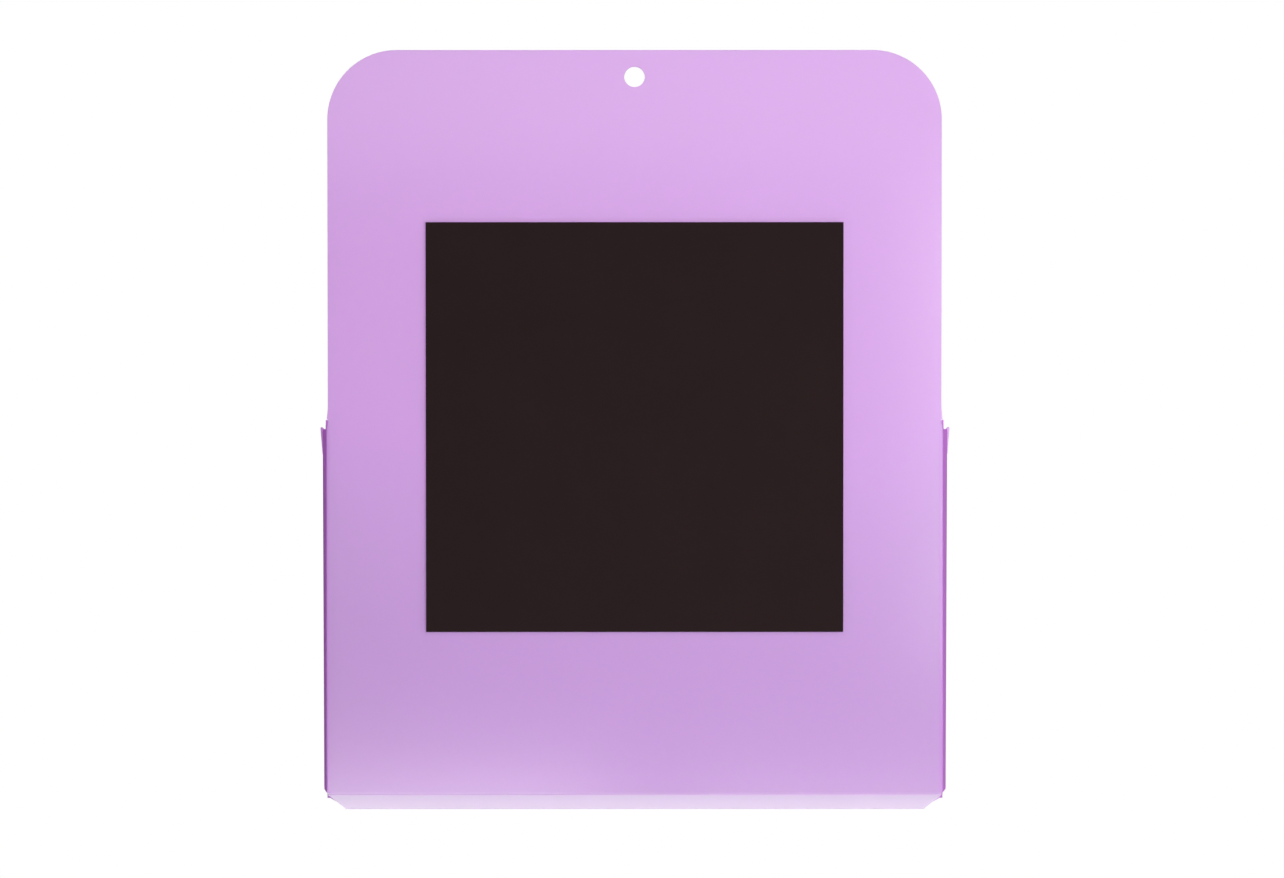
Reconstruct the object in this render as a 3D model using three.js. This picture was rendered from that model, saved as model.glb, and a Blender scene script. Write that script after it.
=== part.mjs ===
// Magnetic document pocket: one die-cut, creased plastic sheet folded into an open-topped pocket,
// with a flexible magnet sheet bonded to its back. Millimetres, Z up, the pocket's front towards -Y,
// left and right as seen from that front. The origin is the centre of the magnet's outer face.
import * as THREE from "three";

// Plastic sheet
const SHEET = 0.8;
const CREASE_GAP = 0.2; // clearance between a panel's edge and the pressed bead of its crease
const CURVE_STEPS = 16;

// Back panel
const BACK_WIDTH = 240;
const BACK_HEIGHT = 290;
const BACK_CORNER_RADIUS = 27;
const EDGE_SETBACK = 0.45; // from the side creases in to the free edges above them
const EDGE_RUN = 4; // height over which a free edge comes out to its crease
const EDGE_ROUNDING = 30;
const HANG_HOLE_DIAMETER = 8;
const HANG_HOLE_DROP = 10.4; // from the top edge to the hole's centre

// Magnet sheet and the adhesive film under it
const MAGNET_WIDTH = 162.5;
const MAGNET_HEIGHT = 159.5;
const MAGNET_THICKNESS = 1;
const MAGNET_DROP = 67; // from the back panel's top edge to the magnet's top edge
const FILM_THICKNESS = 0.2;
const FILM_INSET = 1.5;

// Side walls, folded from the lower half of the back panel's edges
const WALL_HEIGHT = 142.4;
const WALL_FLARE = THREE.MathUtils.degToRad(11.75); // spring-back, away from square to the back
const WALL_FOOT = 0.6; // from the bottom crease up to the wall's lower edge, at the side crease
const WALL_FOOT_DROP = 3.5; // how far that edge falls towards the front
const WALL_GAP = 0.4; // between a wall's front edge and the front panel
const WALL_CORNER_RADIUS = 1;
const RELIEF_RADIUS = 3; // concave cut where a wall leaves the back panel
const RELIEF_STRETCH = 1.25; // height of that cut's tip over the wall, in radii
const RELIEF_LAND = 0.3; // width left at the tip

// Bottom panel
const BOTTOM_LENGTH = 27; // from crease to crease
const BOTTOM_SLOPE = THREE.MathUtils.degToRad(23.4); // falls towards the front
const BOTTOM_SETBACK = 0.2; // from the side creases to its ends at the back
const BOTTOM_TAPER = 3; // how far each end draws in towards the front

// Front panel
const FRONT_HEIGHT = 151; // from the front crease to the shoulders
const FRONT_LEAN = THREE.MathUtils.degToRad(4);
const TIP_RISE = 4; // of the front panel's pointed upper corners over its shoulders
const TIP_RUN = 3.5; // from a shoulder's end out to the side wall
const TIP_EAR = 0.9; // from the side wall out to the point
const TIP_RADIUS = 0.5;
const TIP_FILLET = 2; // where the point rises from the shoulder
const FRONT_SHOULDER = 24; // straight land at each end of the scooped top edge
const SHOULDER_RADIUS = 40;
const SCOOP_DROP = 42; // from the shoulders to the point where the scoop's two flanks would meet
const SCOOP_ROUNDING = 0.92; // share of each flank taken up by the scoop's round middle

// Wings, folded back from the front panel inside the side walls
const WING_WIDTH = 16;
const WING_FOOT = 4.2; // from the front crease up to the wing's lower end
const WING_HEAD = 8; // from the wing's upper end to the front panel's shoulder
const WING_END_TAPER = 11;
const WING_CORNER_RADIUS = 4;
const WING_GAP = 0.5; // between a wing and the side wall around it

// Derived sizes
const BEAD_RADIUS = SHEET / 2;
const CREASE_CLEAR = BEAD_RADIUS + CREASE_GAP; // from a crease line to the panels beside it
const BACK_TOP = MAGNET_HEIGHT / 2 + MAGNET_DROP;
const BACK_BOTTOM = BACK_TOP - BACK_HEIGHT;
const BACK_MIDDLE_Y = -(MAGNET_THICKNESS + FILM_THICKNESS + SHEET / 2);
const WALL_FOLD = Math.PI / 2 - WALL_FLARE;
const BOTTOM_FOLD = Math.PI / 2 - BOTTOM_SLOPE;
const FRONT_FOLD = Math.PI / 2 + BOTTOM_SLOPE - FRONT_LEAN;
const WING_FOLD = Math.PI / 2 + Math.asin(Math.cos(FRONT_LEAN) * Math.sin(WALL_FLARE));
const BOTTOM_DEPTH = BOTTOM_LENGTH * Math.cos(BOTTOM_SLOPE);
const BOTTOM_FALL = BOTTOM_LENGTH * Math.sin(BOTTOM_SLOPE);
const FRONT_FOOT_HALF = BACK_WIDTH / 2 - BOTTOM_SETBACK - BOTTOM_TAPER;
const RELIEF_TOP = WALL_HEIGHT + RELIEF_STRETCH * RELIEF_RADIUS;

const PLASTIC = new THREE.MeshStandardMaterial({ color: 0xd5a7e5, roughness: 0.45, metalness: 0 });
const MAGNET = new THREE.MeshStandardMaterial({ color: 0x2b2021, roughness: 0.85, metalness: 0 });
const FILM = new THREE.MeshStandardMaterial({ color: 0xe9e4da, roughness: 0.6, metalness: 0 });

// Half the front panel's width, at a wing's crease, a given way up from the front crease. The wing runs
// parallel to the side wall, so its crease spreads as the front panel leans out.
function wingCreaseX(up) {
  const offset = (SHEET + WING_GAP) / Math.cos(WALL_FLARE);
  const depth = BOTTOM_DEPTH + up * Math.sin(FRONT_LEAN);
  return BACK_WIDTH / 2 - offset + depth * Math.tan(WALL_FLARE);
}

// Half the front panel's width where it passes in front of the side walls' edges, flush with them.
function flushX(up) {
  return wingCreaseX(up) + (1.5 * SHEET + WING_GAP) / Math.cos(WALL_FLARE);
}

// Distance from a side crease to the wall's front edge, just behind the front panel's inner face.
function wallReach(height) {
  const depth = BOTTOM_DEPTH + (height + BOTTOM_FALL) * Math.tan(FRONT_LEAN);
  return (depth - (SHEET / 2 + WALL_GAP) / Math.cos(FRONT_LEAN)) / Math.cos(WALL_FLARE);
}

// Closed outline through corners given as [x, y, radius], each rounded by its radius.
function outlineOf(corners) {
  const outline = new THREE.Shape();
  corners.forEach(([x, y, radius = 0], index) => {
    const corner = new THREE.Vector2(x, y);
    const [beforeX, beforeY] = corners.at(index - 1);
    const [afterX, afterY] = corners[(index + 1) % corners.length];
    const arriving = new THREE.Vector2(x - beforeX, y - beforeY).normalize();
    const leaving = new THREE.Vector2(afterX - x, afterY - y).normalize();
    const turn = Math.atan2(arriving.cross(leaving), arriving.dot(leaving));
    const start = corner.addScaledVector(arriving, -radius * Math.tan(Math.abs(turn) / 2));
    if (index === 0) {
      outline.moveTo(start.x, start.y);
    } else {
      outline.lineTo(start.x, start.y);
    }
    if (radius > 0) {
      const inward = Math.sign(turn) * radius;
      const centreX = start.x - arriving.y * inward;
      const centreY = start.y + arriving.x * inward;
      const angle = Math.atan2(start.y - centreY, start.x - centreX);
      outline.absarc(centreX, centreY, radius, angle, angle + turn, turn < 0);
    }
  });
  outline.closePath();
  return outline;
}

// The corners of the right half followed by their mirror images, back to the start.
function mirrored(rightHalf) {
  const leftHalf = rightHalf.filter(([x]) => x !== 0).map(([x, ...rest]) => [-x, ...rest]);
  return [...rightHalf, ...leftHalf.reverse()];
}

// A flat piece cut to an outline, with its middle plane at z = 0.
function flatPiece(name, outline, thickness, material) {
  const options = { depth: thickness, bevelEnabled: false, curveSegments: CURVE_STEPS };
  const geometry = new THREE.ExtrudeGeometry(outline, options);
  geometry.translate(0, 0, -thickness / 2);
  const piece = new THREE.Mesh(geometry, material);
  piece.name = name;
  return piece;
}

// The round bead of a pressed crease, from one point to another in the sheet's plane.
function creaseBead(name, from, to) {
  const along = new THREE.Vector3().subVectors(to, from);
  const geometry = new THREE.CylinderGeometry(BEAD_RADIUS, BEAD_RADIUS, along.length(), CURVE_STEPS);
  const bead = new THREE.Mesh(geometry, PLASTIC);
  bead.name = name;
  bead.position.addVectors(from, to).divideScalar(2);
  bead.quaternion.setFromUnitVectors(THREE.Object3D.DEFAULT_UP, along.normalize());
  return bead;
}

// A group that carries a panel about its crease line, added to the panel before it.
function foldAt(parent, x, y) {
  const fold = new THREE.Group();
  fold.position.set(x, y, 0);
  parent.add(fold);
  return fold;
}

function backPanel() {
  const creaseEdge = BACK_WIDTH / 2 - CREASE_CLEAR;
  const freeEdge = BACK_WIDTH / 2 - EDGE_SETBACK;
  const step = BACK_BOTTOM + RELIEF_TOP + CREASE_GAP;
  const rightHalf = [
    [creaseEdge, BACK_BOTTOM + CREASE_CLEAR],
    [creaseEdge, step],
    [BACK_WIDTH / 2, step],
    [freeEdge, step + EDGE_RUN, EDGE_ROUNDING],
    [freeEdge, BACK_TOP, BACK_CORNER_RADIUS],
  ];
  const outline = outlineOf(mirrored(rightHalf));
  const hole = new THREE.Path();
  hole.absarc(0, BACK_TOP - HANG_HOLE_DROP, HANG_HOLE_DIAMETER / 2, 0, 2 * Math.PI);
  outline.holes.push(hole);
  return flatPiece("back_panel", outline, SHEET, PLASTIC);
}

function magnetSheet() {
  const geometry = new THREE.BoxGeometry(MAGNET_WIDTH, MAGNET_THICKNESS, MAGNET_HEIGHT);
  const magnet = new THREE.Mesh(geometry, MAGNET);
  magnet.name = "magnet_sheet";
  magnet.position.y = -MAGNET_THICKNESS / 2;
  return magnet;
}

function adhesiveFilm() {
  const width = MAGNET_WIDTH - 2 * FILM_INSET;
  const height = MAGNET_HEIGHT - 2 * FILM_INSET;
  const film = new THREE.Mesh(new THREE.BoxGeometry(width, FILM_THICKNESS, height), FILM);
  film.name = "adhesive_film";
  film.position.y = -MAGNET_THICKNESS - FILM_THICKNESS / 2;
  return film;
}

// One side wall and its crease; hand is +1 for the right one and -1 for the left one.
function addWall(sheet, side, hand) {
  const crease = foldAt(sheet, (hand * BACK_WIDTH) / 2, BACK_BOTTOM);
  const foot = new THREE.Vector3(0, WALL_FOOT, 0);
  const head = new THREE.Vector3(0, RELIEF_TOP, 0);
  crease.add(creaseBead(`${side}_wall_crease`, foot, head));

  const fold = foldAt(crease, 0, 0);
  fold.rotation.y = -hand * WALL_FOLD;
  const low = WALL_FOOT - WALL_FOOT_DROP;
  const corners = [
    [CREASE_CLEAR, WALL_FOOT],
    [wallReach(low), low, WALL_CORNER_RADIUS],
    [wallReach(WALL_HEIGHT), WALL_HEIGHT, WALL_CORNER_RADIUS],
    [CREASE_CLEAR + RELIEF_LAND, WALL_HEIGHT, RELIEF_RADIUS],
    [CREASE_CLEAR + RELIEF_LAND, RELIEF_TOP],
    [CREASE_CLEAR, RELIEF_TOP],
  ];
  const outline = outlineOf(corners.map(([x, ...rest]) => [hand * x, ...rest]));
  fold.add(flatPiece(`${side}_wall`, outline, SHEET, PLASTIC));
}

// The bottom panel with its crease to the back; returns the group that lies at its front edge.
function addBottom(sheet) {
  const crease = foldAt(sheet, 0, BACK_BOTTOM);
  const backHalf = BACK_WIDTH / 2 - BOTTOM_SETBACK;
  const left = new THREE.Vector3(-backHalf, 0, 0);
  const right = new THREE.Vector3(backHalf, 0, 0);
  crease.add(creaseBead("bottom_crease", left, right));

  const fold = foldAt(crease, 0, 0);
  fold.rotation.x = -BOTTOM_FOLD;
  const rightHalf = [
    [FRONT_FOOT_HALF, CREASE_CLEAR - BOTTOM_LENGTH],
    [backHalf, -CREASE_CLEAR],
  ];
  fold.add(flatPiece("bottom_panel", outlineOf(mirrored(rightHalf)), SHEET, PLASTIC));
  return foldAt(fold, 0, -BOTTOM_LENGTH);
}

// The front panel hangs on the bottom panel's front edge and is folded up from it. In its own plane
// the way up from the crease is -Y. Returns the folded group, which carries the wings.
function addFront(edge) {
  const left = new THREE.Vector3(-FRONT_FOOT_HALF, 0, 0);
  const right = new THREE.Vector3(FRONT_FOOT_HALF, 0, 0);
  edge.add(creaseBead("front_crease", left, right));

  const fold = foldAt(edge, 0, 0);
  fold.rotation.x = -FRONT_FOLD;
  const wingEnd = FRONT_HEIGHT - WING_HEAD + CREASE_GAP;
  const tip = FRONT_HEIGHT + TIP_RISE;
  const flank = wingCreaseX(FRONT_HEIGHT) - FRONT_SHOULDER;
  const scoopReach = SCOOP_ROUNDING * Math.hypot(flank, SCOOP_DROP);
  const rightHalf = [
    [FRONT_FOOT_HALF, CREASE_CLEAR],
    [wingCreaseX(WING_FOOT) - CREASE_CLEAR, WING_FOOT],
    [wingCreaseX(wingEnd) - CREASE_CLEAR, wingEnd],
    [flushX(wingEnd), wingEnd],
    [flushX(tip) + TIP_EAR, tip, TIP_RADIUS],
    [flushX(FRONT_HEIGHT) - TIP_RUN, FRONT_HEIGHT, TIP_FILLET],
    [flank, FRONT_HEIGHT, SHOULDER_RADIUS],
    [0, FRONT_HEIGHT - SCOOP_DROP, (scoopReach * flank) / SCOOP_DROP],
  ];
  const corners = mirrored(rightHalf).map(([x, up, radius]) => [x, -up, radius]);
  fold.add(flatPiece("front_panel", outlineOf(corners), SHEET, PLASTIC));
  return fold;
}

// One wing and its crease, which follows the front panel's spreading side edge.
function addWing(front, side, hand) {
  const crease = foldAt(front, hand * wingCreaseX(WING_FOOT), -WING_FOOT);
  const spread = Math.atan(Math.tan(WALL_FLARE) * Math.sin(FRONT_LEAN));
  const length = (FRONT_HEIGHT - WING_HEAD - WING_FOOT) / Math.cos(spread);
  crease.rotation.z = hand * spread;
  const foot = new THREE.Vector3(0, 0, 0);
  const head = new THREE.Vector3(0, -length, 0);
  crease.add(creaseBead(`${side}_wing_crease`, foot, head));

  const fold = foldAt(crease, 0, 0);
  fold.rotation.y = -hand * WING_FOLD;
  const corners = [
    [CREASE_CLEAR, 0],
    [WING_WIDTH, -WING_END_TAPER, WING_CORNER_RADIUS],
    [WING_WIDTH, WING_END_TAPER - length, WING_CORNER_RADIUS],
    [CREASE_CLEAR, -length],
  ];
  const outline = outlineOf(corners.map(([x, ...rest]) => [hand * x, ...rest]));
  fold.add(flatPiece(`${side}_wing`, outline, SHEET, PLASTIC));
}

// The sheet is laid out in the XY plane with its inner face towards +Z, folded, then stood upright.
function foldedSheet() {
  const sheet = new THREE.Group();
  sheet.rotation.x = Math.PI / 2;
  sheet.position.y = BACK_MIDDLE_Y;
  sheet.add(backPanel());
  const front = addFront(addBottom(sheet));
  for (const [side, hand] of [["left", -1], ["right", 1]]) {
    addWall(sheet, side, hand);
    addWing(front, side, hand);
  }
  return sheet;
}

const pocket = new THREE.Group();
pocket.add(magnetSheet(), adhesiveFilm(), foldedSheet());

export default pocket;
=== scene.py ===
"""Looks of a magnetic document pocket: a frosted polypropylene sheet, creased and folded, with a
ferrite rubber magnet on its back. Metres, Z up, the pocket's front towards -Y."""

import logging
import math
from dataclasses import dataclass, field
from enum import Enum
from typing import Any, Optional

import bpy
import numpy as np
from mathutils import Matrix, Vector


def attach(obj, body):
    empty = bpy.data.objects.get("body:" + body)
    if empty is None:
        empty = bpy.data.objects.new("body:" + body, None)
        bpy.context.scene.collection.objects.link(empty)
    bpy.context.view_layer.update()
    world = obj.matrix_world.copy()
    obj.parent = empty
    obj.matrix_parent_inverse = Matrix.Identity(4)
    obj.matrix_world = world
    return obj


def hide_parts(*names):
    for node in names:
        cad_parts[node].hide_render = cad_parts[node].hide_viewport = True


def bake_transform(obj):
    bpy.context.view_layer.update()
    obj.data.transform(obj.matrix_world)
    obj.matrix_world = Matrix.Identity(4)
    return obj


LOG = logging.getLogger("document_pocket")
MM = 0.001
WHITE = "#FFFFFF"
PHOTO_WIDTH = 1284  # pixels
HIGHLIGHT_LAYER = "highlight_weight"  # a crease's attribute: how strongly its painted highlight shows
NOISE_LOW, NOISE_HIGH = 0.3, 0.7  # nearly all of a noise's values lie between these
COLOUR_FROM, COLOUR_TO, COLOUR_OUT = 6, 7, 2  # sockets of a mix of colours
LEVEL_FROM, LEVEL_TO = 2, 3  # sockets of a mix of numbers
WELD_MM = 0.002
BEVEL_SEGMENTS = 2
BEVEL_DEGREES = 40.0  # a flatter edge than this stays as it is

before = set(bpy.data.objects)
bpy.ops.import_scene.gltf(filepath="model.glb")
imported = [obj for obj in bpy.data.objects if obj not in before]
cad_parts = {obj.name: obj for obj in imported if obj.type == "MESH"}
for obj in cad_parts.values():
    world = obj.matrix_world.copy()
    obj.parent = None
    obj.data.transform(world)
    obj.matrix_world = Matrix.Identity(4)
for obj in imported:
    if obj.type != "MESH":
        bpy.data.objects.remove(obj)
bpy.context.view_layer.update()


class Body(Enum):
    """The rigid bodies that the creases join."""

    BACK = "back"
    LEFT = "left_side"
    RIGHT = "right_side"
    BOTTOM = "bottom"
    FRONT = "front"


class Slot(Enum):
    """The record's material slot for the sheet, which nothing here uses."""

    SHEET = "sheet"


class CreaseTone(Enum):
    """Which tone a crease is painted with: a painted highlight alone, or stress whitening with a painted
    highlight.
    """

    HIGHLIGHT_ONLY = "highlighted"
    WHITENED_AND_HIGHLIGHTED = "whitened"


def linear(colour: str, alpha: float = 1.0) -> tuple[float, float, float, float]:
    """Turns an sRGB hex colour into a linear one.

    Args:
        colour: Six hex digits after a hash mark.
        alpha: Opacity of the result.

    Returns:
        Linear red, green and blue, with the opacity.
    """
    values = np.array([int(colour[i : i + 2], 16) for i in (1, 3, 5)]) / 255
    low, high = values / 12.92, ((values + 0.055) / 1.055) ** 2.4
    red, green, blue = np.where(values <= 0.04045, low, high).tolist()
    return red, green, blue, alpha


def per_metre(size_mm: float) -> float:
    """Gives the scale of a noise whose features are about size_mm across."""
    return 1.0 / (size_mm * MM)


def add_node(
    tree: bpy.types.NodeTree,
    kind: str,
    settings: Optional[dict[str, Any]] = None,
    inputs: Optional[dict[Any, Any]] = None,
) -> bpy.types.Node:
    """Adds one node with its settings, its input values and its links.

    Args:
        tree: The tree that gets the node.
        kind: The node's type name.
        settings: Attributes to set on the node.
        inputs: Values or output sockets by input name or number.

    Returns:
        The new node.
    """
    node = tree.nodes.new(kind)
    for name, value in (settings or {}).items():
        setattr(node, name, value)
    for name, value in (inputs or {}).items():
        if isinstance(value, bpy.types.NodeSocket):
            tree.links.new(value, node.inputs[name])
        else:
            node.inputs[name].default_value = value
    return node


def empty_material(name: str) -> bpy.types.Material:
    """Makes a material with an empty node tree.

    Args:
        name: The material's name.

    Returns:
        The new material.
    """
    material = bpy.data.materials.new(name)
    material.use_nodes = True
    material.node_tree.nodes.clear()
    return material


def finish_with(material: bpy.types.Material, shader: bpy.types.NodeSocket) -> bpy.types.Material:
    """Links a shader to the material's output.

    Args:
        material: The material to finish.
        shader: The shader socket that it shows.

    Returns:
        The same material.
    """
    add_node(material.node_tree, "ShaderNodeOutputMaterial", inputs={"Surface": shader})
    return material


def dress(piece: bpy.types.Object, material: bpy.types.Material) -> None:
    """Gives every face of a piece one material."""
    piece.data.materials.clear()
    piece.data.materials.append(material)


@dataclass(frozen=True)
class Polypropylene:
    """Thin polypropylene sheet: a satin surface, and light that scatters through it from behind.

    One layer is pale, and two layers look deeper, because the light takes on colour in each.
    """

    name: str = "polypropylene"
    through_colour: str = "#F0A0FA"
    through_share: float = 0.5
    index: float = 1.49
    sheen_level: float = 0.2
    gloss_weight: float = 1.0
    gloss_roughness: float = 0.2
    gloss_index: float = 1.8  # makes up for the share of light that goes through

    def shaded(
        self,
        material: bpy.types.Material,
        colour: bpy.types.NodeSocket,
        roughness: Any,
        relief: Optional[bpy.types.NodeSocket] = None,
    ) -> bpy.types.Material:
        """Finishes a material with the sheet's surface and the light that comes through it.

        Args:
            material: The material to finish.
            colour: The surface's colour.
            roughness: The surface's roughness, a number or a socket.
            relief: The normal of a fine relief, if there is one.

        Returns:
            The same material.
        """
        tree = material.node_tree
        normal = {} if relief is None else {"Normal": relief}
        surface = add_node(
            tree,
            "ShaderNodeBsdfPrincipled",
            inputs={
                "Base Color": colour,
                "Roughness": roughness,
                "IOR": self.index,
                "Specular IOR Level": self.sheen_level,
                "Coat Weight": self.gloss_weight,
                "Coat Roughness": self.gloss_roughness,
                "Coat IOR": self.gloss_index,
                **normal,
            },
        )
        through = add_node(
            tree,
            "ShaderNodeBsdfTranslucent",
            inputs={"Color": linear(self.through_colour), **normal},
        )
        both = add_node(
            tree,
            "ShaderNodeMixShader",
            inputs={
                0: self.through_share,
                1: surface.outputs["BSDF"],
                2: through.outputs["BSDF"],
            },
        )
        return finish_with(material, both.outputs["Shader"])


@dataclass(frozen=True)
class FrostedSheet(Polypropylene):
    """Extruded polypropylene sheet with a frosted roller finish on both faces.

    The rollers leave a fine matt grain, an uneven sheen and a faint cloudiness.
    """

    name: str = "frosted_polypropylene"
    colour: str = "#D9BDE6"
    cloud_colour: str = "#DCC1E8"
    painted_reflection_colour: Optional[str] = None  # painted reflection of the floor: a paler tone towards the pocket's front
    painted_reflection_mm: tuple[float, float] = (4.0, 26.0)  # where it starts and is full, forward of the magnet
    roughness_low: float = 0.4
    roughness_high: float = 0.5
    cloud_mm: float = 60.0
    cloud_octaves: float = 3.0
    sheen_mm: float = 9.0
    grain_mm: float = 1.1  # the roller's own grain is about 0.2 mm, too fine to show
    grain_height_mm: float = 0.012
    fine_octaves: float = 2.0

    def tint(self, tree: bpy.types.NodeTree, place: bpy.types.NodeSocket) -> bpy.types.NodeSocket:
        """Adds the sheet's colour: a faint cloud, and where given a painted reflection, paler towards the
        front.

        Args:
            tree: The material's node tree.
            place: The socket of the Object coordinates.

        Returns:
            The colour's socket.
        """
        cloud = add_node(
            tree,
            "ShaderNodeTexNoise",
            inputs={
                "Vector": place,
                "Scale": per_metre(self.cloud_mm),
                "Detail": self.cloud_octaves,
            },
        ).outputs["Fac"]
        clouded = add_node(
            tree,
            "ShaderNodeMix",
            {"data_type": "RGBA"},
            {0: cloud, COLOUR_FROM: linear(self.colour), COLOUR_TO: linear(self.cloud_colour)},
        ).outputs[COLOUR_OUT]
        if self.painted_reflection_colour is None:
            return clouded
        # painted reflection: the colour pales with distance forward of the magnet
        depth = add_node(tree, "ShaderNodeSeparateXYZ", inputs={"Vector": place}).outputs["Y"]
        start, full = (-distance * MM for distance in self.painted_reflection_mm)
        reflection_fade = add_node(
            tree,
            "ShaderNodeMapRange",
            inputs={"Value": depth, "From Min": start, "From Max": full},
        ).outputs["Result"]
        return add_node(
            tree,
            "ShaderNodeMix",
            {"data_type": "RGBA"},
            {0: reflection_fade, COLOUR_FROM: clouded, COLOUR_TO: linear(self.painted_reflection_colour)},
        ).outputs[COLOUR_OUT]

    def material(self) -> bpy.types.Material:
        """Builds the sheet's material with its cloudy colour, uneven sheen and fine grain.

        Returns:
            The material.
        """
        material = empty_material(self.name)
        tree = material.node_tree
        place = add_node(tree, "ShaderNodeTexCoord").outputs["Object"]
        sheen = add_node(
            tree,
            "ShaderNodeTexNoise",
            inputs={
                "Vector": place,
                "Scale": per_metre(self.sheen_mm),
                "Detail": self.fine_octaves,
            },
        )
        roughness = add_node(
            tree,
            "ShaderNodeMapRange",
            inputs={
                "Value": sheen.outputs["Fac"],
                "From Min": NOISE_LOW,
                "From Max": NOISE_HIGH,
                "To Min": self.roughness_low,
                "To Max": self.roughness_high,
            },
        ).outputs["Result"]
        grain = add_node(
            tree,
            "ShaderNodeTexNoise",
            inputs={
                "Vector": place,
                "Scale": per_metre(self.grain_mm),
                "Detail": self.fine_octaves,
            },
        )
        relief = add_node(
            tree,
            "ShaderNodeBump",
            inputs={
                "Strength": 1.0,
                "Distance": self.grain_height_mm * MM,
                "Height": grain.outputs["Fac"],
            },
        ).outputs["Normal"]
        return self.shaded(material, self.tint(tree, place), roughness, relief)


@dataclass(frozen=True)
class HighlightedCrease(Polypropylene):
    """Polypropylene along a pressed crease, paler and pinker where a painted highlight lies along the
    bend.
    """

    name: str = "creased_polypropylene"
    edge_colour: str = "#D9BDE6"
    # painted highlight of the bend; on the bottom crease partly stress whitening
    whitening_and_highlight_colour: str = "#ECAEFA"
    roughness: float = 0.4
    streak_mm: float = 2.5
    streak_octaves: float = 3.0
    streak_low: float = 0.6  # share of the painted highlight that is left in the dullest streaks

    def material(self) -> bpy.types.Material:
        """Builds the crease's material, whose painted highlight follows the crease's attribute and fine
        streaks.

        Returns:
            The material.
        """
        material = empty_material(self.name)
        tree = material.node_tree
        place = add_node(tree, "ShaderNodeTexCoord").outputs["Object"]
        highlight_weight = add_node(tree, "ShaderNodeAttribute", {"attribute_name": HIGHLIGHT_LAYER})
        streak = add_node(
            tree,
            "ShaderNodeTexNoise",
            inputs={
                "Vector": place,
                "Scale": per_metre(self.streak_mm),
                "Detail": self.streak_octaves,
            },
        )
        uneven = add_node(
            tree,
            "ShaderNodeMapRange",
            inputs={"Value": streak.outputs["Fac"], "To Min": self.streak_low},
        )
        highlight_mask = add_node(
            tree,
            "ShaderNodeMath",
            {"operation": "MULTIPLY"},
            {0: highlight_weight.outputs["Fac"], 1: uneven.outputs["Result"]},
        ).outputs[0]
        colour = add_node(
            tree,
            "ShaderNodeMix",
            {"data_type": "RGBA"},
            {0: highlight_mask, COLOUR_FROM: linear(self.edge_colour), COLOUR_TO: linear(self.whitening_and_highlight_colour)},
        ).outputs[COLOUR_OUT]
        return self.shaded(material, colour, self.roughness)


@dataclass(frozen=True)
class FerriteRubber:
    """Calendered flexible magnet: ferrite powder in rubber, brown-black and nearly without gloss."""

    name: str = "ferrite_rubber"
    colour: str = "#211617"
    worn_colour: str = "#281D1E"
    roughness_low: float = 0.62
    roughness_high: float = 0.78
    sheen_level: float = 0.03
    mottle_mm: float = 26.0
    mottle_octaves: float = 5.0
    mottle_gain: float = 0.6  # strength of each octave against the one before
    grit_mm: float = 1.3  # the powder is far finer, and is drawn coarser to show
    grit_height_mm: float = 0.02
    grit_octaves: float = 3.0

    def material(self) -> bpy.types.Material:
        """Builds the magnet's material: a soft mottle in colour and gloss over a fine grit.

        Returns:
            The material.
        """
        material = empty_material(self.name)
        tree = material.node_tree
        place = add_node(tree, "ShaderNodeTexCoord").outputs["Object"]
        mottle = add_node(
            tree,
            "ShaderNodeTexNoise",
            inputs={
                "Vector": place,
                "Scale": per_metre(self.mottle_mm),
                "Detail": self.mottle_octaves,
                "Roughness": self.mottle_gain,
            },
        ).outputs["Fac"]
        grit = add_node(
            tree,
            "ShaderNodeTexNoise",
            inputs={
                "Vector": place,
                "Scale": per_metre(self.grit_mm),
                "Detail": self.grit_octaves,
            },
        )
        colour = add_node(
            tree,
            "ShaderNodeMix",
            {"data_type": "RGBA"},
            {0: mottle, COLOUR_FROM: linear(self.colour), COLOUR_TO: linear(self.worn_colour)},
        )
        roughness = add_node(
            tree,
            "ShaderNodeMapRange",
            inputs={
                "Value": mottle,
                "From Min": NOISE_LOW,
                "From Max": NOISE_HIGH,
                "To Min": self.roughness_low,
                "To Max": self.roughness_high,
            },
        )
        relief = add_node(
            tree,
            "ShaderNodeBump",
            inputs={
                "Strength": 1.0,
                "Distance": self.grit_height_mm * MM,
                "Height": grit.outputs["Fac"],
            },
        )
        surface = add_node(
            tree,
            "ShaderNodeBsdfPrincipled",
            inputs={
                "Base Color": colour.outputs[COLOUR_OUT],
                "Roughness": roughness.outputs["Result"],
                "Specular IOR Level": self.sheen_level,
                "Normal": relief.outputs["Normal"],
            },
        )
        return finish_with(material, surface.outputs["BSDF"])


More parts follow.
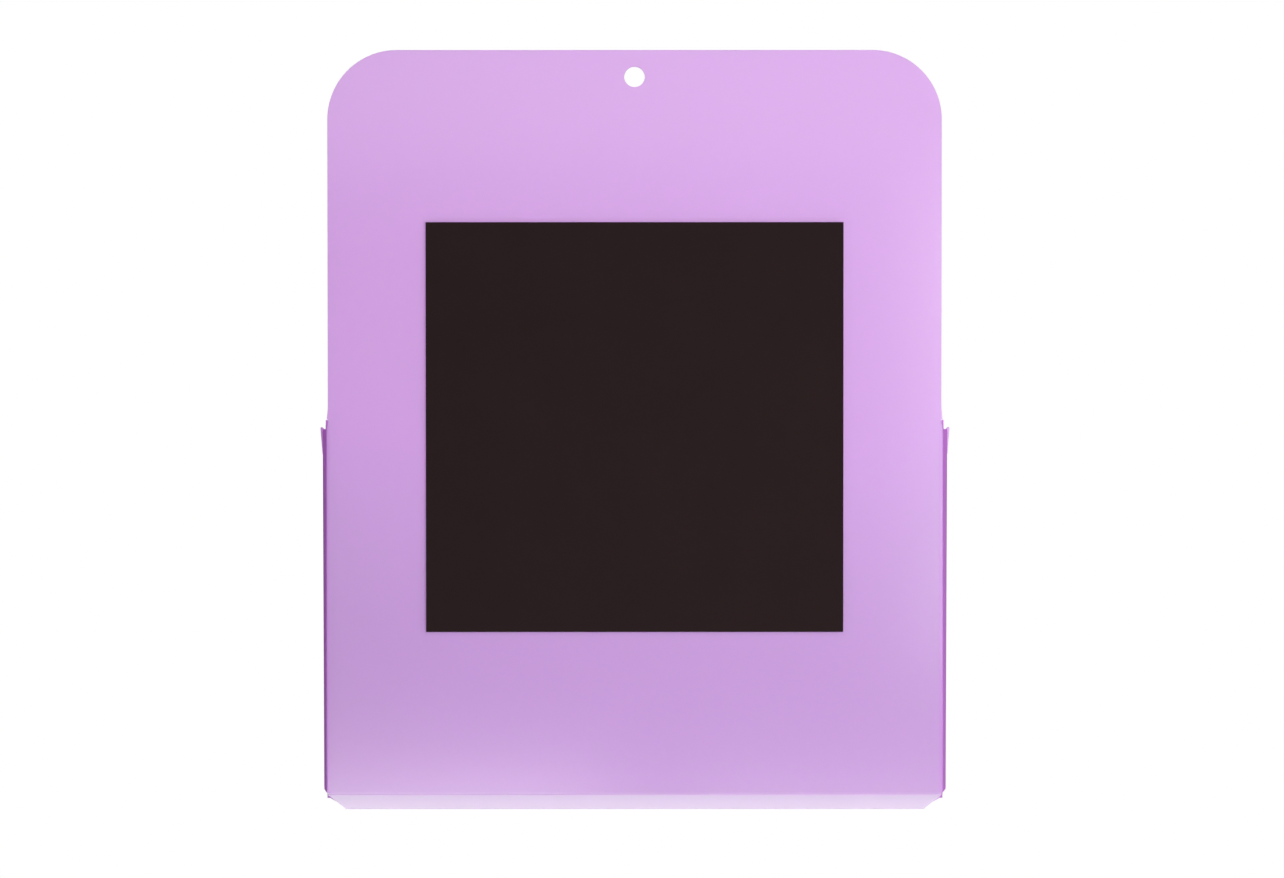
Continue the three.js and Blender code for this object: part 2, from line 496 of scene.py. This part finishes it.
@dataclass(frozen=True)
class TransferFilm:
    """Acrylic transfer adhesive on a paper-white carrier, slightly yellowed and tacky."""

    name: str = "acrylic_transfer_film"
    colour: str = "#E9E4DA"
    aged_colour: str = "#DED6C4"
    roughness: float = 0.5
    blotch_mm: float = 12.0
    blotch_octaves: float = 3.0

    def material(self) -> bpy.types.Material:
        """Builds the film's material with a blotchy yellowing.

        Returns:
            The material.
        """
        material = empty_material(self.name)
        tree = material.node_tree
        place = add_node(tree, "ShaderNodeTexCoord").outputs["Object"]
        blotch = add_node(
            tree,
            "ShaderNodeTexNoise",
            inputs={
                "Vector": place,
                "Scale": per_metre(self.blotch_mm),
                "Detail": self.blotch_octaves,
            },
        ).outputs["Fac"]
        colour = add_node(
            tree,
            "ShaderNodeMix",
            {"data_type": "RGBA"},
            {0: blotch, COLOUR_FROM: linear(self.colour), COLOUR_TO: linear(self.aged_colour)},
        ).outputs[COLOUR_OUT]
        surface = add_node(
            tree,
            "ShaderNodeBsdfPrincipled",
            inputs={"Base Color": colour, "Roughness": self.roughness},
        )
        return finish_with(material, surface.outputs["BSDF"])


def node_points(name: str) -> np.ndarray:
    """Reads a CAD node's vertices.

    Args:
        name: The node's name.

    Returns:
        Its points as an array of rows x, y, z.
    """
    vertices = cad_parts[name].data.vertices
    points = np.empty(3 * len(vertices))
    vertices.foreach_get("co", points)
    return points.reshape(-1, 3)


def flat_shading() -> bpy.types.NodeTree:
    """Gives the node group that shades each face flat; the first call makes it.

    Returns:
        The node group.
    """
    name, kind = "flat_faces", "NodeSocketGeometry"
    group = bpy.data.node_groups.get(name)
    if group is None:
        group = bpy.data.node_groups.new(name, "GeometryNodeTree")
        group.interface.new_socket("Geometry", in_out="INPUT", socket_type=kind)
        group.interface.new_socket("Geometry", in_out="OUTPUT", socket_type=kind)
        whole = add_node(group, "NodeGroupInput").outputs["Geometry"]
        inputs = {"Geometry": whole, "Shade Smooth": False}
        flat = add_node(group, "GeometryNodeSetShadeSmooth", inputs=inputs)
        add_node(group, "NodeGroupOutput", inputs={"Geometry": flat.outputs["Geometry"]})
    return group


def soften_edges(name: str, width_mm: float) -> None:
    """Rounds a CAD node's cut edges a little, after its loose triangles are joined.

    Args:
        name: The node's name.
        width_mm: How far the rounding reaches in from an edge.
    """
    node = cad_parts[name]
    weld = node.modifiers.new("joined", "WELD")
    weld.merge_threshold = WELD_MM * MM
    bevel = node.modifiers.new("cut_edge", "BEVEL")
    bevel.width = width_mm * MM
    bevel.segments = BEVEL_SEGMENTS
    bevel.limit_method = "ANGLE"
    bevel.angle_limit = math.radians(BEVEL_DEGREES)
    node.modifiers.new("flat_faces", "NODES").node_group = flat_shading()


@dataclass(frozen=True, eq=False)
class FoldPlace:
    """Where a crease lies between its two panels, and how thick the sheet is there."""

    start: np.ndarray  # the crease line's ends
    end: np.ndarray
    along: np.ndarray  # unit vector of the crease line
    first: np.ndarray  # unit vectors into the panels, square to the crease line
    second: np.ndarray
    half: float  # half the sheet's thickness
    clear: float  # distance from the crease line to the panels

    @property
    def angle(self) -> float:
        """Gives the angle that the sheet is folded through, in radians."""
        return math.acos(float(-self.first @ self.second))


@dataclass
class Crease:
    """A bent strip of sheet that joins two panels where the sheet was pressed and folded.

    Its cross-section is an arc tangent to both panels' outer faces, a concentric arc one sheet
    thickness inside it, and straight ends that reach a little way over the panels.
    """

    bead: str
    panels: tuple[str, str]
    bodies: tuple[Body, Body]
    crease_tone: CreaseTone = CreaseTone.HIGHLIGHT_ONLY
    arc_steps: int = 12
    bend_share: float = 0.4  # of the largest bend that fits between the two panels' edges
    lap_mm: tuple[float, float] = (0.4, 0.4)  # reach over each panel
    highlight_weight: tuple[float, float] = (0.6, 0.6)  # how strong the painted highlight is beside each panel
    proud_mm: float = 0.01  # how far the strip stands over the panels' faces
    least_inner_mm: float = 0.03
    least_inner_share: float = 0.5  # of the inner bend's radius, when the proud surface narrows it
    fade_mm: float = 0.0  # length over which the bend runs out at its upper end
    faded_bend: float = 0.05  # share of the bend's reach past the first panel that is left there
    faded_thickness: float = 0.9
    sharp_degrees: float = 30.0  # a sharper edge than this is not smoothed

    def line(self) -> tuple[np.ndarray, np.ndarray, float]:
        """Finds the crease line from the CAD bead.

        Returns:
            The bead's two ends, of an upright bead the upper one last, and its radius.
        """
        points = node_points(self.bead)
        middle = points.mean(axis=0)
        along = np.linalg.svd(points - middle, full_matrices=False)[2][0]
        along *= np.sign(along[np.abs(along).argmax()])
        travel = (points - middle) @ along
        start = middle + travel.min() * along
        end = middle + travel.max() * along
        aside = points - middle - np.outer(travel, along)
        return start, end, float(np.linalg.norm(aside, axis=1).max())

    def into_panel(self, name: str, start: np.ndarray, along: np.ndarray) -> tuple[np.ndarray, float]:
        """Finds the way from the crease into a panel.

        Args:
            name: The panel's node.
            start: A point on the crease line.
            along: The crease line's direction.

        Returns:
            The unit vector square to the crease in the panel's plane, and the panel's distance from it.
        """
        points = node_points(name)
        offset = points.mean(axis=0) - start
        offset -= (offset @ along) * along
        way = offset / np.linalg.norm(offset)
        return way, float(((points - start) @ way).min())

    def place(self) -> FoldPlace:
        """Works out where the crease lies from its bead and its panels.

        Returns:
            The crease's place.
        """
        start, end, half = self.line()
        along = (end - start) / np.linalg.norm(end - start)
        (first, near), (second, far) = (self.into_panel(name, start, along) for name in self.panels)
        return FoldPlace(start, end, along, first, second, half, max(near, far))

    def profile(self, place: FoldPlace) -> tuple[np.ndarray, np.ndarray]:
        """Works out the closed cross-section about the crease line.

        Args:
            place: Where the crease lies.

        Returns:
            The loop's points relative to the crease line, in the order that makes the strip's faces
            point outwards, and the weight of the painted highlight at each point.
        """
        first, second, half, clear = place.first, place.second, place.half, place.clear
        fold = place.angle
        out_first = -(second + first * math.cos(fold)) / math.sin(fold)
        out_second = -(first + second * math.cos(fold)) / math.sin(fold)
        inward = (first + second) / np.linalg.norm(first + second)
        outer = half + self.bend_share * clear / math.tan(fold / 2)
        centre = inward * (outer - half) / math.cos(fold / 2)
        inner = max(outer - 2 * half, self.least_inner_mm * MM)
        turn = np.linspace(0, 1, self.arc_steps + 1)[:, None]
        swept = np.sin((1 - turn) * fold) * out_first + np.sin(turn * fold) * out_second
        swept /= math.sin(fold)
        reach_first, reach_second = (clear + lap * MM for lap in self.lap_mm)
        proud = self.proud_mm * MM
        top = half + proud
        parts = [
            reach_first * first + top * out_first,
            clear * first + top * out_first,
            centre + (outer + proud) * swept,
            clear * second + top * out_second,
            reach_second * second + top * out_second,
            reach_second * second - top * out_second,
            centre + max(inner - proud, self.least_inner_share * inner) * swept[::-1],
            reach_first * first - top * out_first,
        ]
        outside = np.linspace(*self.highlight_weight, self.arc_steps + 1)
        highlight_across = [0.0, self.highlight_weight[0], outside, self.highlight_weight[1], 0.0, 0.0, 0.0 * outside, 0.0]
        loop, highlight_across = np.vstack(parts), np.hstack(highlight_across)
        if np.cross(first, second) @ place.along > 0:
            return loop[::-1], highlight_across[::-1]
        return loop, highlight_across

    def faded(self, loop: np.ndarray, place: FoldPlace) -> np.ndarray:
        """Draws the cross-section in to the first panel's edge, where the bend runs out.

        Args:
            loop: The cross-section's points relative to the crease line.
            place: Where the crease lies.

        Returns:
            The points of the drawn-in cross-section.
        """
        depth = loop @ place.first
        aside = loop - depth[:, None] * place.first
        thin = np.minimum(1, self.faded_thickness * place.half / np.linalg.norm(aside, axis=1))
        drawn_in = place.clear + self.faded_bend * (depth - place.clear)
        reach = np.where(depth < place.clear, drawn_in, depth)
        return reach[:, None] * place.first + thin[:, None] * aside

    def surface(self, place: FoldPlace) -> bpy.types.Mesh:
        """Carries the cross-section along the crease line: rings of points, joined and capped.

        Args:
            place: Where the crease lies.

        Returns:
            The closed mesh, with the weight of its painted highlight as an attribute.
        """
        loop, highlight_across = self.profile(place)
        sections, highlighted = [loop + place.start, loop + place.end], [1.0, 1.0]
        if self.fade_mm > 0:
            sections[1] = loop + place.end - self.fade_mm * MM * place.along
            sections.append(self.faded(loop, place) + place.end)
            highlighted.append(0.0)
        count = len(loop)
        points = np.vstack(sections)
        ring = np.arange(count)
        after = (ring + 1) % count
        lower = count * np.arange(len(sections) - 1)[:, None]
        upper = lower + count
        corners = [lower + ring, lower + after, upper + after, upper + ring]
        sides = np.stack(corners, axis=2).reshape(-1, len(corners))
        caps = [ring[::-1].tolist(), (ring + len(points) - count).tolist()]
        mesh = bpy.data.meshes.new(self.bead)
        mesh.from_pydata(points.tolist(), [], sides.tolist() + caps)
        layer = mesh.attributes.new(HIGHLIGHT_LAYER, "FLOAT", "POINT")
        layer.data.foreach_set("value", np.outer(highlighted, highlight_across).ravel().astype(np.float32))
        mesh.polygons.foreach_set("use_smooth", np.arange(len(mesh.polygons)) < len(sides))
        mesh.set_sharp_from_angle(angle=math.radians(self.sharp_degrees))
        mesh.update()
        return mesh

    def join(self, piece: bpy.types.Object) -> None:
        """Makes the strip follow its body if both panels share one, or else bakes its placement into its
        mesh.

        Args:
            piece: The strip.
        """
        if self.bodies[0] is self.bodies[1]:
            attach(piece, self.bodies[0].value)
            return
        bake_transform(piece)

    def build(self, material: bpy.types.Material) -> bpy.types.Object:
        """Builds the strip in the CAD bead's place, and makes it follow its body if both panels share one.

        Args:
            material: The crease's material.

        Returns:
            The new piece, which stands for the CAD bead.
        """
        place = self.place()
        name = self.bead.replace("_crease", "_fold_line")
        piece = bpy.data.objects.new(name, self.surface(place))
        bpy.context.scene.collection.objects.link(piece)
        dress(piece, material)
        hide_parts(self.bead)
        self.join(piece)
        return piece


@dataclass
class FoldedPocket:
    """The creased plastic sheet: its panels from the CAD and a bent strip for each crease."""

    cut_edge_mm: float = 0.12
    sheet: FrostedSheet = field(default_factory=FrostedSheet)
    # the walls and wings: a shaded copy of the sheet, deeper, more saturated and without sheen; painted
    # shade of the walls, which are seen edge-on and lit little from the sides
    sides: FrostedSheet = FrostedSheet(
        "painted_shade_flap_polypropylene",
        colour="#D49EE2",
        cloud_colour="#D8A5E5",
        through_colour="#F480F6",
        sheen_level=0.0,
        gloss_weight=0.0,
    )
    # the bottom panel's underside: paler and greyer than the sheet, and paler still towards the front;
    # painted reflection of the white floor below
    underside: FrostedSheet = FrostedSheet(
        "painted_reflection_polypropylene",
        colour="#D4C0E2",
        cloud_colour="#D7C4E4",
        through_colour="#EEB4F8",
        painted_reflection_colour="#F0EAF6",
    )
    # the creases' bends: a painted highlight, and on the bottom crease also stress whitening
    crease: HighlightedCrease = field(default_factory=HighlightedCrease)
    whitened_highlight_crease: HighlightedCrease = HighlightedCrease("whitened_crease_highlight_polypropylene", whitening_and_highlight_colour="#EFDAF8")
    panels: tuple[str, ...] = ("back_panel", "front_panel")
    flaps: tuple[str, ...] = ("left_wall", "right_wall", "left_wing", "right_wing")
    painted_reflection_panels: tuple[str, ...] = ("bottom_panel",)

    def creases(self) -> list[Crease]:
        """Lists the six creases with the panels and bodies that each one joins.

        Returns:
            The creases, those of the back first.
        """
        sides = [("left", Body.LEFT), ("right", Body.RIGHT)]
        walls = [
            Crease(
                f"{side}_wall_crease",
                ("back_panel", f"{side}_wall"),
                (Body.BACK, body),
                lap_mm=(0.6, 0.2),
                highlight_weight=(1.0, 0.0),
                fade_mm=4.0,
            )
            for side, body in sides
        ]
        wings = [
            Crease(f"{side}_wing_crease", ("front_panel", f"{side}_wing"), (Body.FRONT, Body.FRONT))
            for side, _ in sides
        ]
        bottom = Crease(
            "bottom_crease",
            ("back_panel", "bottom_panel"),
            (Body.BACK, Body.BOTTOM),
            # the bottom crease: partly stress whitening, partly a painted highlight where the bend faces
            # down and gets little light
            crease_tone=CreaseTone.WHITENED_AND_HIGHLIGHTED,
            lap_mm=(0.2, 0.8),
            highlight_weight=(0.5, 1.0),
        )
        front = Crease("front_crease", ("bottom_panel", "front_panel"), (Body.BOTTOM, Body.FRONT))
        return [*walls, bottom, front, *wings]

    def build(self) -> list[bpy.types.Object]:
        """Dresses the panels and builds the creases.

        Returns:
            All the sheet's pieces.
        """
        dressed = ((self.panels, self.sheet), (self.flaps, self.sides), (self.painted_reflection_panels, self.underside))
        for names, finish in dressed:
            material = finish.material()
            for name in names:
                dress(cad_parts[name], material)
                soften_edges(name, self.cut_edge_mm)
        finishes = {CreaseTone.HIGHLIGHT_ONLY: self.crease, CreaseTone.WHITENED_AND_HIGHLIGHTED: self.whitened_highlight_crease}
        creased = {crease_tone: finish.material() for crease_tone, finish in finishes.items()}
        folds = [crease.build(creased[crease.crease_tone]) for crease in self.creases()]
        return [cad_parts[name] for names, _ in dressed for name in names] + folds


@dataclass
class MagnetBacking:
    """The flexible magnet and the adhesive film that bonds it to the back."""

    cut_edge_mm: float = 0.15
    rubber: FerriteRubber = field(default_factory=FerriteRubber)
    film: TransferFilm = field(default_factory=TransferFilm)

    def build(self) -> list[bpy.types.Object]:
        """Dresses the magnet and the film.

        Returns:
            The two pieces.
        """
        magnet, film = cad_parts["magnet_sheet"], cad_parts["adhesive_film"]
        dress(magnet, self.rubber.material())
        dress(film, self.film.material())
        soften_edges("magnet_sheet", self.cut_edge_mm)
        return [magnet, film]


@dataclass
class Lamp:
    """One soft area lamp aimed at the pocket; it lights the scene but is not seen itself."""

    name: str
    place: tuple[float, float, float]
    width: float
    height: float
    power: float
    aim: tuple[float, float, float] = (0.0, 0.0, 0.0)

    def build(self) -> bpy.types.Object:
        """Adds the lamp to the scene.

        Returns:
            The lamp.
        """
        light = bpy.data.lights.new(self.name, "AREA")
        light.shape = "RECTANGLE"
        light.size = self.width
        light.size_y = self.height
        light.energy = self.power
        lamp = bpy.data.objects.new(self.name, light)
        lamp.location = self.place
        way = Vector(self.aim) - Vector(self.place)
        lamp.rotation_euler = way.to_track_quat("-Z", "Y").to_euler()
        lamp.visible_camera = False
        bpy.context.scene.collection.objects.link(lamp)
        return lamp


@dataclass(frozen=True)
class Easing:
    """A level that eases from one value to another while what it depends on grows."""

    start: float
    end: float
    before: float
    after: float

    def level(self, tree: bpy.types.NodeTree, value: bpy.types.NodeSocket) -> bpy.types.NodeSocket:
        """Adds the level to a node tree.

        Args:
            tree: The tree that gets it.
            value: What the level depends on.

        Returns:
            The level's socket.
        """
        inputs = {
            "Value": value,
            "From Min": self.start,
            "From Max": self.end,
            "To Min": self.before,
            "To Max": self.after,
        }
        settings = {"interpolation_type": "SMOOTHSTEP"}
        return add_node(tree, "ShaderNodeMapRange", settings, inputs).outputs["Result"]


@dataclass
class Studio:
    """A pale floor well below the hanging pocket, a white surround and soft lamps.

    The surround is dim at both sides, as between a pair of dark flags, and from the viewer's side.
    Left and right are the viewer's, who looks at the pocket's back.
    """

    floor_level: float = -0.36
    floor_radius: float = 4.0
    rings: int = 24
    spokes: int = 64
    floor_colour: str = "#E4E4E4"
    floor_white: Easing = Easing(0.5, 0.8, 0.3, 1.0)  # share of plain white, by distance
    floor_light: float = 0.35  # of its white that the floor gives to the pocket
    mirrored_floor: tuple[float, float] = (4.9, 0.15)  # under the pocket and further out
    sky: Easing = Easing(0.2, 0.75, 3.3, 0.06)  # light by how far a direction points aside
    sky_behind: Easing = Easing(-0.3, 0.3, 1.0, 0.055)  # share of it towards the viewer's side
    mirrored_sky: Easing = Easing(0.04, 0.22, 1.0, 0.05)
    mirrored_behind: Easing = Easing(-0.3, 0.3, 1.0, 0.15)
    lamps: tuple[Lamp, ...] = (
        Lamp("key", (-0.5, 0.8, 0.3), 0.5, 0.5, 3.1),
        Lamp("fill", (0.1, 1.3, 0.2), 0.8, 0.8, 2.3),
        Lamp("top", (0.06, 0.75, 0.295), 0.6, 0.2, 0.8),
        Lamp("right", (-0.35, 0.75, 0.0), 0.24, 0.4, 1.55),
        Lamp("side", (-0.8, 0.25, -0.05), 0.3, 0.5, 1.0),
        Lamp("low_left", (0.2, 0.75, -0.33), 0.36, 0.03, 0.85, (0.0, 0.0, -0.14)),
        Lamp("low_right", (-0.2, 0.75, -0.33), 0.36, 0.03, 0.45, (0.0, 0.0, -0.14)),
    )

    def floor(self) -> bpy.types.Object:
        """Builds a round floor: rings at growing radius, each a circle of spokes.

        Returns:
            The floor.
        """
        radius = self.floor_radius * np.linspace(0, 1, self.rings + 1)[1:, None] ** 2
        angle = np.linspace(0, 2 * np.pi, self.spokes, endpoint=False)[None, :]
        level = np.full((self.rings, self.spokes), self.floor_level)
        grid = np.stack([radius * np.cos(angle), radius * np.sin(angle), level], axis=2)
        points = np.vstack([[0, 0, self.floor_level], grid.reshape(-1, 3)])
        spoke = np.arange(self.spokes)
        after = (spoke + 1) % self.spokes
        inner = 1 + self.spokes * np.arange(self.rings - 1)[:, None]
        outer = inner + self.spokes
        quads = np.stack([inner + spoke, outer + spoke, outer + after, inner + after], axis=2)
        fan = np.stack([np.zeros_like(spoke), 1 + spoke, 1 + after], axis=1)
        mesh = bpy.data.meshes.new("floor")
        mesh.from_pydata(points.tolist(), [], fan.tolist() + quads.reshape(-1, 4).tolist())
        floor = bpy.data.objects.new("floor", mesh)
        bpy.context.scene.collection.objects.link(floor)
        dress(floor, self.floor_material())
        return floor

    def floor_material(self) -> bpy.types.Material:
        """Builds the floor's material: matt white that takes the pocket's shadow, plain white further out.

        Returns:
            The material.
        """
        material = empty_material("matt_white_floor")
        tree = material.node_tree
        place = add_node(tree, "ShaderNodeTexCoord").outputs["Object"]
        distance = add_node(tree, "ShaderNodeVectorMath", {"operation": "LENGTH"}, {0: place})
        away = self.floor_white.level(tree, distance.outputs["Value"])
        matt = add_node(tree, "ShaderNodeBsdfDiffuse", inputs={"Color": linear(self.floor_colour)})
        near_glow, far_glow = self.mirrored_floor
        mirrored = add_node(
            tree,
            "ShaderNodeMapRange",
            inputs={
                "Value": away,
                "From Min": self.floor_white.before,
                "To Min": near_glow,
                "To Max": far_glow,
            },
        ).outputs["Result"]
        ray = add_node(tree, "ShaderNodeLightPath")
        unseen = add_node(
            tree,
            "ShaderNodeMix",
            {"data_type": "FLOAT"},
            {0: ray.outputs["Is Glossy Ray"], LEVEL_FROM: self.floor_light, LEVEL_TO: mirrored},
        ).outputs[0]
        glow = add_node(
            tree,
            "ShaderNodeMix",
            {"data_type": "FLOAT"},
            {0: ray.outputs["Is Camera Ray"], LEVEL_FROM: unseen, LEVEL_TO: 1.0},
        ).outputs[0]
        white = add_node(
            tree, "ShaderNodeEmission", inputs={"Color": linear(WHITE), "Strength": glow}
        )
        both = add_node(
            tree,
            "ShaderNodeMixShader",
            inputs={0: away, 1: matt.outputs["BSDF"], 2: white.outputs["Emission"]},
        )
        return finish_with(material, both.outputs["Shader"])

    def surround(self) -> None:
        """Sets a world that is white to see, and lights the pocket less from its two sides."""
        world = bpy.data.worlds.new("white_surround")
        world.use_nodes = True
        tree = world.node_tree
        tree.nodes.clear()
        way = add_node(tree, "ShaderNodeTexCoord").outputs["Generated"]
        parts = add_node(tree, "ShaderNodeSeparateXYZ", inputs={"Vector": way})
        across, ahead = parts.outputs["X"], parts.outputs["Y"]
        aside = add_node(tree, "ShaderNodeMath", {"operation": "ABSOLUTE"}, {0: across}).outputs[0]
        light, mirrored = (
            add_node(
                tree,
                "ShaderNodeMath",
                {"operation": "MULTIPLY"},
                {0: spread.level(tree, aside), 1: behind.level(tree, ahead)},
            ).outputs[0]
            for spread, behind in (
                (self.sky, self.sky_behind),
                (self.mirrored_sky, self.mirrored_behind),
            )
        )
        ray = add_node(tree, "ShaderNodeLightPath")
        sharp = add_node(
            tree,
            "ShaderNodeMath",
            {"operation": "MAXIMUM"},
            {0: ray.outputs["Is Glossy Ray"], 1: ray.outputs["Is Transmission Ray"]},
        ).outputs[0]
        unseen = add_node(
            tree,
            "ShaderNodeMix",
            {"data_type": "FLOAT"},
            {0: sharp, LEVEL_FROM: light, LEVEL_TO: mirrored},
        ).outputs[0]
        strength = add_node(
            tree,
            "ShaderNodeMix",
            {"data_type": "FLOAT"},
            {0: ray.outputs["Is Camera Ray"], LEVEL_FROM: unseen, LEVEL_TO: 1.0},
        ).outputs[0]
        glow = add_node(
            tree, "ShaderNodeBackground", inputs={"Color": linear(WHITE), "Strength": strength}
        )
        add_node(tree, "ShaderNodeOutputWorld", inputs={"Surface": glow.outputs["Background"]})
        bpy.context.scene.world = world

    def build(self) -> None:
        """Builds the floor, the surround and the lamps."""
        self.floor()
        self.surround()
        for lamp in self.lamps:
            lamp.build()


@dataclass
class Viewpoint:
    """The photograph's viewpoint: behind the pocket, at its middle height, looking almost level."""

    place: tuple[float, float, float] = (-0.00288, 0.72001, 0.00264)
    ahead: tuple[float, float, float] = (0.0, -0.99995, -0.01)
    right: tuple[float, float, float] = (-1.0, 0.0, -0.00026)
    focal_pixels: float = 1850.5
    sensor_mm: float = 36.0
    nearest: float = 0.01
    farthest: float = 50.0

    def build(self) -> bpy.types.Object:
        """Adds the camera and makes it the scene's own.

        Returns:
            The camera.
        """
        data = bpy.data.cameras.new("viewpoint")
        data.sensor_width = self.sensor_mm
        data.lens = self.focal_pixels * self.sensor_mm / PHOTO_WIDTH
        data.clip_start, data.clip_end = self.nearest, self.farthest
        camera = bpy.data.objects.new("viewpoint", data)
        ahead = Vector(self.ahead).normalized()
        right = Vector(self.right).normalized()
        up = right.cross(ahead).normalized()
        turn = Matrix((right, up, -ahead)).transposed().to_4x4()
        camera.matrix_world = Matrix.Translation(self.place) @ turn
        bpy.context.scene.collection.objects.link(camera)
        bpy.context.scene.camera = camera
        return camera


def main() -> None:
    """Builds the viewpoint, the pocket and the studio, and reports each piece."""
    logging.basicConfig(level=logging.INFO, format="%(name)s: %(message)s")
    bpy.context.scene.view_settings.view_transform = "Standard"
    Viewpoint().build()
    for assembly in (FoldedPocket(), MagnetBacking()):
        for piece in assembly.build():
            LOG.info("%s: %s, %d faces", type(assembly).__name__, piece.name, len(piece.data.polygons))
    Studio().build()


if __name__ == "__main__":
    main()
